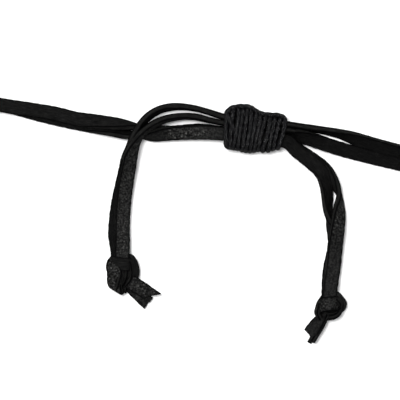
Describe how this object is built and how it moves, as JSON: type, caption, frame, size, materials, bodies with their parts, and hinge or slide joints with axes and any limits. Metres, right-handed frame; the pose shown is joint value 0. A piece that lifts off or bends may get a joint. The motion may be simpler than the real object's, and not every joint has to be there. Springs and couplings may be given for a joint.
{
  "type": "leather lace necklace with sliding wound knot",
  "caption": "Black flat leather laces in a neck loop, drawn through a sliding knot of wound waxed cord, with tails that end in overhand knots. Adjustable, no pendant.",
  "frame": {"origin": "on the surface it lies on, under the middle of the neck loop", "axes": "+Z up from that surface, +Y from the middle of the loop towards the sliding knot, +X to the right seen from above with +Y up"},
  "size_m": [0.1846, 0.1444, 0.0068],
  "materials": {
    "lace_leather": "black dyed leather lace, satin grain face, dull fibrous cut edges",
    "waxed_cord": "black waxed twisted cord with a soft gloss"
  },
  "bodies": {
    "root": {"sliding_knot": "waxed_cord", "neck_lace_outer": "lace_leather", "neck_lace_inner": "lace_leather", "left_tail_outer": "lace_leather", "left_tail_inner": "lace_leather", "right_tail_outer": "lace_leather", "right_tail_inner": "lace_leather", "left_end_knot": "lace_leather", "right_end_knot": "lace_leather"}
  },
  "joints": []
}
